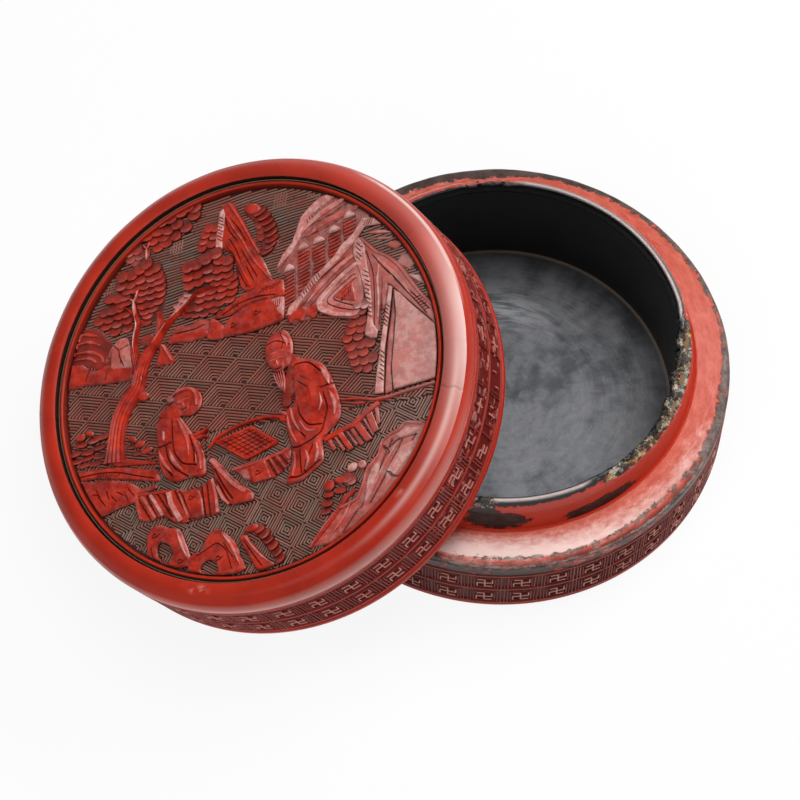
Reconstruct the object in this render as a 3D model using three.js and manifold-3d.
// Round carved cinnabar lacquer box, millimetres, +Z up.
// The base stands on its foot with its axis on Z. The lid is off and leans on the base: its lowest
// edge is on the table at the left and its mouth lies over the base's collar.
import * as THREE from "three";
import { mergeVertices } from "three/addons/utils/BufferGeometryUtils.js";
import Module from "manifold-3d";

const wasm = await Module();
wasm.setup();

// Driving dimensions
const OUTER_R = 60;          // carved side face of the base and of the lid
const COAT = 2.5;            // thickness of the carved red coat on the sides
const GLUE_GAP = 0.3;        // clearance between pieces that lie one inside the other
const ROUND_STEPS = 48;      // steps round a turned piece
const CORE_STEPS = 40;       // steps round a wooden core, which never shows
const FINEST = 0.02;         // corners closer than this become one

// Base
const UNDERSIDE_COAT = 0.5;
const BASE_BOARD = 1.5;
const LINING = 0.6;
const FOOT_H = 1.7;
const FOOT_INSET = 0.2;      // the foot stands this far inside the carved face
const FOOT_ROUND = 0.4;
const BASE_BAND_H = 15.8;    // carved band of the base
const BEVEL_H = 5.1;         // plain dark strip above the band
const SHOULDER_RISE = 2.4;   // from the outer edge of the shoulder up to the foot of the collar
const BEVEL_INSET = 0.3;      // the dark strip stands this far inside the carved face
const SHOULDER_EDGE = 0.9;   // height of the worn, rounded outer edge
const SHOULDER_ROUND = 1.5;
const QUIRK_W = 0.4;         // shallow groove at the foot of the collar
const QUIRK_DEPTH = 0.5;
const SHOULDER_W = 9.8;      // from the side face in to the foot of the collar
const COLLAR_TAPER = 1.4;    // how far the outside of the collar leans in
const COLLAR_WALL = 4.2;     // collar at its foot, lacquer and hoop together
const COLLAR_H = 10.6;       // collar above the shoulder
const COLLAR_CROWN = 1.8;    // height of the rounded top of the collar
const HOOP = 1.3;            // bent-wood hoop inside the collar
const HOOP_COVER = 2;        // lacquer above the hoop
const COAT_LIP = 1;          // the coat turns down this far inside the bore

// Lid
const COLLAR_PLAY = 1.4;     // the lid's hollow is this much wider than the collar's foot
const MOUTH_H = 2.2;         // smooth bead round the mouth
const MOUTH_BEAD = 0.5;      // how far the bead stands out from the side
const MOUTH_ROUND = 0.8;     // inner edge of the mouth
const MOUTH_SEAT = 0.4;      // flat of the mouth ends this far inside the side face
const LID_BAND_H = 16.9;     // carved band of the lid
const LID_BOARD = 2.5;
const MOULDING_H = 7.2;      // plain moulding round the picture
const MOULDING_W = 6.1;      // from the side face in to the moulding's inner edge
const MOULDING_OUT = 0.3;    // how far the moulding stands out over the band
const GROOVE_W = 0.9;        // dark groove between the moulding and the inner bead
const BEAD_W = 1.3;
const BEAD_H = 3.3;
const BEAD_ROUND = 0.4;
const GROUND_H = 1.3;        // lacquer ground of the picture
const RELIEF_H = 2.2;        // highest carving above the ground
const PICTURE_EDGE = 0.4;    // bare edge of the ground, outside the carving

// Cells of the carved bands: two rows round each band
const CELLS_ROUND = 40;
const CELL_ROWS = 2;
const CELL_LINE = 1.1;       // raised line between two cells
const CELL_DEPTH = 0.7;

// How the lid leans
const LEAN_INSET = 2.8;      // the lid's centre stands this far inside the base's outer radius
const LEAN_SIDE = 195;       // direction from the base to the lid, degrees from +X
const LEAN_FALL = 201.7;     // direction in which the lid slopes down
const SEAT_GAP = 0.3;        // lid to collar
const TABLE_GAP = 0.05;      // lid to table

const RED = "#a8281e";
const DARK_RED = "#6e1c16";
const BLACK = "#1d1817";
const WOOD = "#8a6b45";

function lacquer(color, roughness = 0.35) {
  return new THREE.MeshStandardMaterial({ color, roughness, metalness: 0 });
}

function mesh(name, geometry, material) {
  const piece = new THREE.Mesh(geometry, material);
  piece.name = name;
  return piece;
}

// Radii that both halves share
const collarFootR = OUTER_R - SHOULDER_W;
const collarTopR = collarFootR - COLLAR_TAPER;
const baseBoreR = collarFootR - COLLAR_WALL;
const lidBoreR = collarFootR + COLLAR_PLAY;
const mouldingInnerR = OUTER_R - MOULDING_W;
const coatR = OUTER_R - COAT;
const coreR = coatR - GLUE_GAP;

// A ring turned from a closed profile of [radius, height] points, anticlockwise
function turned(profile, steps = ROUND_STEPS) {
  const points = [...profile, profile[0]].map(([r, z]) => new THREE.Vector2(r, z));
  return new THREE.LatheGeometry(points, steps).rotateX(Math.PI / 2);
}

function tube(innerR, outerR, low, high, steps = ROUND_STEPS) {
  return turned([[innerR, low], [outerR, low], [outerR, high], [innerR, high]], steps);
}

function disc(radius, low, high, steps = ROUND_STEPS) {
  const cylinder = new THREE.CylinderGeometry(radius, radius, high - low, steps);
  return cylinder.rotateX(Math.PI / 2).translate(0, 0, (low + high) / 2);
}

function solid(geometry) {
  const bare = geometry.clone();
  bare.deleteAttribute("normal");
  bare.deleteAttribute("uv");
  const merged = mergeVertices(bare, 1e-4);
  const vertProperties = new Float32Array(merged.attributes.position.array);
  const triVerts = new Uint32Array(merged.index.array);
  return new wasm.Manifold(new wasm.Mesh({ numProp: 3, vertProperties, triVerts }));
}

function geometryOf(manifold) {
  const { vertProperties, triVerts } = manifold.simplify(FINEST).getMesh();
  const geometry = new THREE.BufferGeometry();
  geometry.setAttribute("position", new THREE.BufferAttribute(new Float32Array(vertProperties), 3));
  geometry.setIndex(new THREE.BufferAttribute(new Uint32Array(triVerts), 1));
  geometry.computeVertexNormals();
  return geometry;
}

// A side band with its sunk cells, two rows one above the other
function carvedBand(innerR, outerR, low, high) {
  const cellPitch = (2 * Math.PI * outerR) / CELLS_ROUND;
  const cellWide = cellPitch - CELL_LINE;
  const cellTall = (high - low - CELL_LINE) / CELL_ROWS - CELL_LINE;
  let band = solid(tube(innerR, outerR, low, high, CELLS_ROUND));
  const faceR = outerR * Math.cos(Math.PI / CELLS_ROUND);
  for (let row = 0; row < CELL_ROWS; row++) {
    const z = low + CELL_LINE + cellTall / 2 + row * (cellTall + CELL_LINE);
    for (let i = 0; i < CELLS_ROUND; i++) {
      const turn = ((i + 0.5) / CELLS_ROUND) * 2 * Math.PI;
      const cutter = new THREE.BoxGeometry(2 * CELL_DEPTH, cellWide, cellTall);
      cutter.translate(faceR, 0, z).rotateZ(turn);
      band = band.subtract(solid(cutter));
    }
  }
  return geometryOf(band);
}

// Heights of the base, from the table up
const boardTop = UNDERSIDE_COAT + BASE_BOARD;
const baseFloor = boardTop + LINING;
const bandTop = FOOT_H + BASE_BAND_H;
const shoulderEdge = bandTop + BEVEL_H;
const collarFoot = shoulderEdge + SHOULDER_RISE;
const collarTop = collarFoot + COLLAR_H;
const hoopInnerR = baseBoreR + LINING + GLUE_GAP;
const hoopOuterR = hoopInnerR + HOOP;
const collarCoatR = hoopOuterR + GLUE_GAP;
const coreTop = shoulderEdge;
const hoopTop = collarTop - HOOP_COVER;
const lipLow = hoopTop - COAT_LIP;

function base() {
  const red = lacquer(RED);
  const black = lacquer(BLACK, 0.25);
  const wood = lacquer(WOOD, 0.8);
  const carved = lacquer(DARK_RED, 0.5);

  const footR = OUTER_R - FOOT_INSET;
  const foot = turned([
    [coatR, 0], [footR - FOOT_ROUND, 0], [footR, 0.3 * FOOT_H], [footR, 0.7 * FOOT_H],
    [footR - FOOT_ROUND, FOOT_H], [coatR, FOOT_H],
  ]);
  const bevelR = OUTER_R - BEVEL_INSET;
  const edgeR = bevelR - SHOULDER_EDGE / 2;
  const shoulder = turned([
    [coatR, bandTop], [bevelR, bandTop], [bevelR, shoulderEdge - SHOULDER_EDGE],
    [edgeR, shoulderEdge], [edgeR - SHOULDER_ROUND, shoulderEdge + 0.4 * SHOULDER_ROUND],
    [collarFootR + 2 * QUIRK_W, collarFoot], [collarFootR + QUIRK_W, collarFoot - QUIRK_DEPTH],
    [collarFootR, collarFoot], [collarCoatR, collarFoot], [collarCoatR, coreTop], [coatR, coreTop],
  ]);
  const crownR = (collarTopR + baseBoreR) / 2;
  const collar = turned([
    [collarCoatR, collarFoot], [collarFootR, collarFoot], [collarTopR, collarTop - COLLAR_CROWN],
    [collarTopR - 0.2 * COLLAR_CROWN, collarTop - 0.3 * COLLAR_CROWN],
    [crownR + 0.1, collarTop], [crownR - 0.4 * COLLAR_CROWN, collarTop - 0.15 * COLLAR_CROWN],
    [baseBoreR, collarTop - 0.7 * COLLAR_CROWN], [baseBoreR, lipLow], [baseBoreR + LINING, lipLow],
    [baseBoreR + LINING, hoopTop + GLUE_GAP], [collarCoatR, hoopTop + GLUE_GAP],
  ]);
  const group = new THREE.Group();
  group.add(
    mesh("base_underside_coat", disc(coreR, 0, UNDERSIDE_COAT), black),
    mesh("base_floor_board", disc(coreR, UNDERSIDE_COAT, boardTop, CORE_STEPS), wood),
    mesh("base_wall_core", tube(collarCoatR, coreR, boardTop, coreTop, CORE_STEPS), wood),
    mesh("base_collar_hoop", tube(hoopInnerR, hoopOuterR, boardTop, hoopTop, CORE_STEPS), wood),
    mesh("base_lining_floor", disc(baseBoreR + LINING, boardTop, baseFloor), black),
    mesh("base_lining_wall",
      tube(baseBoreR, baseBoreR + LINING, baseFloor, lipLow - GLUE_GAP), black),
    mesh("base_foot_ring", foot, red),
    mesh("base_carved_band", carvedBand(coatR, OUTER_R, FOOT_H, bandTop), carved),
    mesh("base_shoulder_coat", shoulder, red),
    mesh("base_collar_coat", collar, red),
  );
  return group;
}

// Heights of the lid, from its mouth up; its pieces keep the glue gap because the lid is turned
const lidBandLow = MOUTH_H + GLUE_GAP;
const lidBandTop = lidBandLow + LID_BAND_H;
const lidCoreTop = lidBandTop - GLUE_GAP / 2;
const ceilingLow = lidCoreTop - LINING;
const lidBoardLow = lidCoreTop + GLUE_GAP;
const lidBoardTop = lidBoardLow + LID_BOARD;
const mouldingLow = lidBandTop + GLUE_GAP;
const mouldingTop = mouldingLow + MOULDING_H;
const beadOuterR = mouldingInnerR - GROOVE_W;
const beadInnerR = beadOuterR - BEAD_W;
const panelR = beadInnerR - GLUE_GAP;
const panelLow = lidBoardTop + GLUE_GAP;
const groundTop = panelLow + GROUND_H;

// Outlines of the carving, [right, up] on the lid, drawn for a picture of this radius
const DRAWN_R = 51.4;
const CARVING = [
  { of: "pine trunk", rise: 0.85, outline: [[-34.2, -17], [-34.2, -11], [-33.6, -6], [-31.6, -2.4],
    [-28.6, 2], [-27.7, 5.6], [-26.5, 8.6], [-24.8, 11.6], [-21.2, 17.2], [-18.8, 19.8], [-13.8, 24.2],
    [-8.5, 25.8], [-8.6, 26.5], [-14.6, 25.6], [-20.2, 21.4], [-23.4, 19.1], [-28.2, 14], [-30.6, 10.4],
    [-32.2, 6.6], [-33.2, 3.4], [-35.6, -0.2], [-38, -5], [-39.4, -11], [-40.4, -17]] },
  { of: "pine branch", rise: 0.75, outline: [[-29.4, 7], [-30.4, 11], [-30.7, 15.5], [-30, 19.5],
    [-30.8, 22.5], [-32.3, 22.3], [-31.7, 19.4], [-32.7, 15.5], [-32.8, 11], [-32.3, 7]] },
  { of: "left pine crown", rise: 1, round: true, outline: [[-32.5, 35.5], [-28, 36.7], [-25, 34.8],
    [-24, 32], [-22.6, 28], [-22.5, 24.5], [-24, 21], [-28, 18.8], [-35, 17.6], [-38.5, 17.5], [-42, 20],
    [-42.6, 24], [-39.3, 27.2], [-36.5, 30]] },
  { of: "right pine crown", rise: 1, round: true, outline: [[-17.5, 32], [-15.5, 34], [-12, 35.3],
    [-8, 36], [-3.6, 32], [-2.6, 25.5], [-2.8, 23], [-5, 20.5], [-9, 18.6], [-13.5, 18.3], [-17, 19.5],
    [-16.5, 24], [-17.8, 28]] },
  { of: "foliage on the upper rim", rise: 0.8, round: true, outline: [[-35, 38.2], [-29.5, 42],
    [-24, 46], [-16, 49.6], [-12.6, 49.2], [-12.5, 46.5], [-16, 43], [-20, 41], [-25, 38.8],
    [-29.5, 37.6], [-33, 37]] },
  { of: "hanging leaves", rise: 0.75, round: true, outline: [[-13, 37], [-11.5, 42], [-9, 43.2],
    [-7.6, 42], [-8.2, 37.5], [-10, 36]] },
  { of: "leaves on the peak", rise: 0.75, round: true, outline: [[-0.3, 45], [2, 47], [4.5, 45.5],
    [7.7, 40], [8.8, 37.5], [8.7, 34.5], [7, 32.4], [4.6, 32.2], [3.4, 39], [2, 42.4]] },
  { of: "left bank", rise: 0.55, outline: [[-51.4, 6], [-49, 4.9], [-43, 5.1], [-32.6, 5], [-32.4, 8],
    [-33, 13], [-33.8, 16.4], [-36, 16.7], [-38, 15.3], [-39.5, 17.7], [-42, 20.6], [-46.5, 21.3],
    [-49, 20], [-50.5, 15.5]] },
  { of: "low hills", rise: 0.5, outline: [[-22.2, 12.9], [-21.2, 15.2], [-19.6, 17.6], [-16.5, 16.9],
    [-13.6, 18.1], [-10.2, 17.5], [-8.5, 15.2], [-10.6, 13.4], [-15.5, 12.4]] },
  { of: "small rock", rise: 0.6, outline: [[-24.7, 12.9], [-23.2, 13.1], [-20.3, 8], [-21.5, 7.5],
    [-26, 7.1], [-25.2, 9.6]] },
  { of: "central boulder", rise: 0.65, outline: [[-11.2, 12.3], [-8, 11.5], [0, 12], [5, 12.7],
    [10.2, 14], [10.7, 19.9], [10.3, 24.6], [4.2, 25.1], [2, 23.6], [-1, 22.8], [-4, 20.9], [-7, 19.4],
    [-10.7, 17.2], [-10.3, 15]] },
  { of: "central peak", rise: 0.6, outline: [[-7.2, 46.8], [-6.3, 48.6], [-4.4, 48.8], [-3.2, 48],
    [-2.8, 46.3], [-1.3, 44.2], [0.1, 40.8], [2.6, 36.4], [4.1, 33], [7.4, 24.9], [0.2, 23.4],
    [-1.6, 24.5], [-2.4, 27.5], [-3.8, 34], [-6, 35.8], [-8.5, 36.6], [-8.4, 39.5], [-7.8, 43]] },
  { of: "right peaks", rise: 0.6, outline: [[8.1, 27.5], [10.1, 31.6], [12.5, 34.2], [14.2, 38.2],
    [17.6, 43.1], [20.2, 45.2], [23.6, 46], [28, 44], [34, 38.5], [32, 34], [27, 29.5], [20, 25.5],
    [13, 18.2], [10.9, 17.1], [10.5, 26]] },
  { of: "right hill", rise: 0.7, outline: [[11.1, 14.5], [11.6, 16.8], [14.6, 19.4], [17.4, 22.8],
    [24, 28.2], [26.5, 31.3], [29.6, 33.6], [32.2, 37.4], [38, 36], [37, 34.8], [33.1, 34.9],
    [31.5, 31.6], [31.7, 24.3], [28, 24.2], [19.6, 17.2], [18.4, 12.8], [15, 12.4], [12.4, 12.6]] },
  { of: "striped crag", rise: 0.8, outline: [[19.3, 17.5], [19.5, 14.6], [22, 13], [25, 11.7],
    [28.4, 11], [31, 11.5], [32.2, 17.1], [32, 22], [30.4, 25.6], [27, 23.8], [23, 20.6]] },
  { of: "slanting crag", rise: 0.75, outline: [[29.8, 30], [30.4, 31.7], [31.4, 32.3], [33.2, 30.8],
    [35.4, 28.4], [41.2, 23.6], [43.4, 20.4], [46, 16.4], [50.4, 10.6], [50.7, 5.9], [45, 11.9],
    [41, 16.1], [38.5, 18.8], [37, 17.2], [36.2, 7], [35.4, 4.4], [33.8, 4.6], [32.3, 6.1], [33.3, 12],
    [31.5, 22.3], [29.7, 27.7]] },
  { of: "bare slab", rise: 0.9, outline: [[39, 17.9], [40.1, 17.2], [41.8, 15.4], [45.2, 11.5],
    [50.9, 5.3], [51.2, 0], [50.6, -8.4], [45, -9.2], [34.4, -10.3], [34.9, -6], [35.9, 0], [38, 12]] },
  { of: "shore", rise: 0.45, outline: [[25.4, -9.8], [30, -9.9], [34.5, -11], [43, -10.1],
    [50.3, -9.1], [50.1, -9.9], [43, -11], [34.4, -12], [30, -10.9]] },
  { of: "shrubs in the water", rise: 0.65, round: true, outline: [[28.4, -3], [27.2, 1.6], [26.6, 6],
    [27.4, 10], [29.4, 13.4], [31.4, 14.8], [33, 12.1], [32.4, 5.2], [34.9, 3.4], [35.1, -0.8],
    [33.6, -4.2]] },
  { of: "left ground", rise: 0.5, outline: [[-50, -18.1], [-45, -17.6], [-38, -17.8], [-33, -18.6],
    [-25.3, -20.4], [-25.1, -25.3], [-30.4, -26.5], [-31.5, -28.3], [-36, -29.3], [-41.6, -30.6],
    [-47.4, -20.8]] },
  { of: "left bush", rise: 0.65, round: true, outline: [[-49.6, -12], [-48.4, -9], [-45, -7.2],
    [-41, -8.4], [-40, -13], [-41, -16.4], [-47, -17.2]] },
  { of: "low bush", rise: 0.65, round: true, outline: [[-33.9, -11.4], [-31.6, -10.2], [-28.6, -12.4],
    [-26.5, -15], [-26.1, -17], [-30, -16.4], [-33.3, -14]] },
  { of: "seated player", rise: 0.9, round: true, outline: [[-25.4, -9], [-22, -4], [-19, -5.2],
    [-17.4, -9.4], [-15.6, -12], [-11, -11.6], [-10.9, -14], [-13.2, -15.6], [-11.5, -22],
    [-12.3, -24], [-19.6, -24.7], [-22.4, -23.8], [-24.4, -20], [-25.3, -15]] },
  { of: "seated player's head", rise: 1, round: true, outline: [[-20.6, -3], [-19.4, -0.8],
    [-16.6, 0.1], [-13.8, -0.8], [-12.8, -3.6], [-13.8, -6.6], [-16.6, -7.5], [-19.5, -6.4]] },
  { of: "standing elder", rise: 0.95, round: true, outline: [[12, 1.5], [14, 2.6], [17, 2.2],
    [20.4, 0.4], [23.6, -5.6], [25.3, -13], [24.2, -15.9], [21.6, -18], [20.2, -20], [20.3, -25],
    [14.4, -29.4], [10.2, -29.6], [11.7, -25], [11.8, -20.4], [10.4, -15.2], [10.3, -10.6],
    [9.4, -6]] },
  { of: "elder's staff", rise: 0.6, outline: [[-11.1, -16.8], [-8.7, -13.9], [-5.1, -12.5],
    [5, -10.7], [11, -11.6], [11, -12.6], [5, -11.7], [-4.9, -13.5], [-8, -14.9], [-10.5, -17.3]] },
  { of: "elder's hood", rise: 1, round: true, outline: [[5.2, 6.5], [6, 9], [8.4, 10.9],
    [10.8, 10.7], [12.8, 6], [12.6, 2.8], [11.6, -3], [9.6, -5.4], [8, -2.6], [5, 3]] },
  { of: "game board", rise: 0.55, outline: [[-8.8, -15.9], [1, -13.2], [8.4, -18.4], [-0.4, -21.7]] },
  { of: "upper ledge", rise: 0.6, outline: [[-31.2, -26.2], [-29.6, -25.7], [-22, -26.1], [-17, -27],
    [-12.5, -26.2], [-9.8, -24.7], [-8, -34.4], [-12, -34.8], [-17.6, -35.7], [-20.4, -35.1],
    [-23.6, -33], [-27, -33.8], [-30.2, -33.2], [-31.4, -29]] },
  { of: "middle ledge", rise: 0.6, outline: [[-10.8, -19.6], [-9.3, -19.9], [-7.4, -22], [-2, -27.9],
    [0.4, -29.6], [1.5, -31], [1, -32.4], [-4, -32.9], [-6.5, -31.6], [-8.3, -28.1], [-9.6, -23.9]] },
  { of: "near ledge", rise: 0.55, outline: [[-4.7, -23.6], [-2, -22.8], [1, -23], [11.5, -20.2],
    [11.2, -23.9], [9, -26.4], [6.3, -27.6], [1.4, -28.1], [-2, -25.7]] },
  { of: "right ledge", rise: 0.6, outline: [[21.2, -19.8], [28, -17], [30, -15.6], [33.6, -13.2],
    [35.2, -12.7], [35.6, -16], [34.4, -20], [31.6, -22.6], [27.2, -24.1], [23.4, -24.6],
    [21, -22.4]] },
  { of: "left garden rock", rise: 0.85, round: true, outline: [[-27.4, -43.8], [-28, -40.6],
    [-27.8, -37.6], [-26.4, -35.6], [-24.4, -35.2], [-19.8, -36.7], [-18.4, -38], [-16.2, -44.6],
    [-17, -46.8], [-21, -46.4]],
    hole: [[-25, -41], [-24, -39.9], [-21.8, -41], [-20.8, -44], [-22.4, -45], [-24.6, -43.6]] },
  { of: "middle garden rock", rise: 0.85, round: true, outline: [[-16.1, -44.7], [-13, -43.4],
    [-11.5, -40.4], [-9.6, -38.6], [-7.8, -38.8], [-4.2, -42], [-3, -44], [-1, -49.6], [-4, -50.4],
    [-12, -50], [-16.5, -48.2]],
    hole: [[-13.2, -48], [-12.4, -46.8], [-10.8, -46.2], [-9.2, -47], [-8.8, -48.8], [-10.8, -49.2]] },
  { of: "thin garden rock", rise: 0.8, round: true, outline: [[-2.6, -41.4], [-0.8, -41.2],
    [2.6, -46], [6.6, -49.4], [2.4, -50.3], [0.8, -48.4], [-1.2, -45]] },
  { of: "leafy rock", rise: 0.7, round: true, outline: [[-1.2, -39.8], [0.4, -38.3], [3, -38.6],
    [8, -44.4], [10, -47.6], [9.2, -49.6], [6.6, -48], [1.6, -41.4]] },
  { of: "right garden rock", rise: 0.8, outline: [[16.1, -47], [20, -41.7], [24, -38.4],
    [28.6, -36.4], [30.4, -33], [31.6, -29.4], [34.6, -26.2], [35.6, -23.2], [37.4, -21.2],
    [39.6, -20.7], [42, -18.8], [44, -18.4], [47.3, -19.8], [44, -26.8], [38, -34.2], [30, -41.3],
    [22, -46]] },
  { of: "leaves on the right rock", rise: 0.7, round: true, outline: [[19, -38.4], [19.4, -34],
    [21, -31], [24.6, -29.6], [28, -26.4], [31.4, -26.5], [31, -29.4], [26.8, -32.6], [24.4, -35.6],
    [22, -39.2]] },
];

// A flat outline at the panel's size, its corners joined by a soft curve where it is round
function flatOutline(outline, round = false) {
  const scale = panelR / DRAWN_R;
  const corners = outline.map(([x, y]) => new THREE.Vector2(x * scale, y * scale));
  if (!round) return corners;
  const soft = new THREE.SplineCurve([...corners, corners[0]]);
  return soft.getPoints(corners.length * 2).slice(0, -1);
}

// One carved form: its outline raised from just inside the ground
function carvedForm({ rise, round, outline, hole }) {
  const shape = new THREE.Shape(flatOutline(outline, round));
  if (hole) shape.holes.push(new THREE.Path(flatOutline(hole).reverse()));
  const sunk = GROUND_H / 2;
  const settings = { depth: sunk + rise * RELIEF_H, bevelEnabled: false, steps: 1 };
  return new THREE.ExtrudeGeometry(shape, settings).translate(0, 0, groundTop - sunk);
}

function picturePanel() {
  let panel = solid(disc(panelR, panelLow, groundTop));
  const reach = solid(disc(panelR - PICTURE_EDGE, panelLow + GROUND_H / 4, groundTop + RELIEF_H + 1));
  for (const form of CARVING) {
    panel = panel.add(solid(carvedForm(form)).intersect(reach));
  }
  return geometryOf(panel);
}

function lid() {
  const red = lacquer(RED);
  const black = lacquer(BLACK, 0.25);
  const wood = lacquer(WOOD, 0.8);
  const carved = lacquer(DARK_RED, 0.5);

  const mouthR = OUTER_R + MOUTH_BEAD;
  const shyR = mouthR - 0.4 * MOUTH_BEAD;
  const mouth = turned([
    [lidBoreR, MOUTH_ROUND], [lidBoreR + MOUTH_ROUND, 0], [OUTER_R - MOUTH_SEAT, 0],
    [shyR, 0.27 * MOUTH_H], [mouthR, 0.55 * MOUTH_H], [shyR, 0.82 * MOUTH_H],
    [OUTER_R - MOUTH_SEAT / 2, MOUTH_H], [lidBoreR, MOUTH_H],
  ]);
  const widest = OUTER_R + MOULDING_OUT;
  const width = widest - mouldingInnerR;
  const at = (across, up) => [widest - across * width, mouldingLow + up * MOULDING_H];
  const moulding = turned([
    at(1, 0), at(0.17, 0), at(0.15, 0.11), at(0.02, 0.3), at(0, 0.4), at(0.08, 0.6), at(0.23, 0.79),
    at(0.47, 0.96), at(0.72, 1), at(0.92, 0.93), at(1, 0.79),
  ]);
  const beadTop = panelLow + BEAD_H;
  const bead = turned([
    [beadInnerR, panelLow], [beadOuterR, panelLow], [beadOuterR, beadTop - BEAD_ROUND],
    [beadOuterR - BEAD_W / 2, beadTop], [beadInnerR, beadTop - BEAD_ROUND],
  ]);
  const group = new THREE.Group();
  group.add(
    mesh("lid_mouth_ring", mouth, red),
    mesh("lid_wall_core",
      tube(lidBoreR + LINING + GLUE_GAP, coreR, lidBandLow, lidCoreTop, CORE_STEPS), wood),
    mesh("lid_lining_wall",
      tube(lidBoreR, lidBoreR + LINING, lidBandLow, ceilingLow - GLUE_GAP), black),
    mesh("lid_lining_ceiling", disc(lidBoreR + LINING, ceilingLow, lidCoreTop), black),
    mesh("lid_carved_band", carvedBand(coatR, OUTER_R, lidBandLow, lidBandTop), carved),
    mesh("lid_top_board", disc(mouldingInnerR - GLUE_GAP, lidBoardLow, lidBoardTop, CORE_STEPS), wood),
    mesh("lid_border_moulding", moulding, red),
    mesh("lid_inner_bead", bead, red),
    mesh("lid_picture_panel", picturePanel(), carved),
  );
  return group;
}

// The slope at which the lid's mouth clears the crown of the collar by the seat gap
function leanAngle(centre, fall) {
  const crownR = collarTopR - COLLAR_CROWN / 2;
  const seatLow = lidBoreR + MOUTH_ROUND / 2;
  const clearanceAt = (angle) => {
    const mouthZ = (OUTER_R - MOUTH_SEAT) * Math.sin(angle) + TABLE_GAP;
    let least = Infinity;
    for (let i = 0; i < 720; i++) {
      const turn = (i / 720) * 2 * Math.PI;
      const dx = crownR * Math.cos(turn) - centre.x;
      const dy = crownR * Math.sin(turn) - centre.y;
      const downhill = dx * Math.cos(fall) + dy * Math.sin(fall);
      const across = dy * Math.cos(fall) - dx * Math.sin(fall);
      const below = mouthZ - downhill * Math.tan(angle) - collarTop;
      const along = downhill / Math.cos(angle);
      const radius = Math.hypot(along, across);
      if (radius < seatLow || radius > OUTER_R) continue;
      least = Math.min(least, below * Math.cos(angle));
    }
    return least;
  };
  let low = 0;
  let high = Math.PI / 3;
  for (let i = 0; i < 40; i++) {
    const middle = (low + high) / 2;
    if (clearanceAt(middle) < SEAT_GAP) low = middle;
    else high = middle;
  }
  return high;
}

function leaningLid() {
  const side = THREE.MathUtils.degToRad(LEAN_SIDE);
  const fall = THREE.MathUtils.degToRad(LEAN_FALL);
  const reach = OUTER_R - LEAN_INSET;
  const centre = new THREE.Vector3(reach * Math.cos(side), reach * Math.sin(side), 0);
  const angle = leanAngle(centre, fall);
  centre.z = (OUTER_R - MOUTH_SEAT) * Math.sin(angle) + TABLE_GAP;
  const hinge = new THREE.Vector3(-Math.sin(fall), Math.cos(fall), 0);
  const group = lid();
  group.quaternion.setFromAxisAngle(hinge, angle);
  group.position.copy(centre);
  return group;
}

const box = new THREE.Group();
box.add(base(), leaningLid());

export default box;
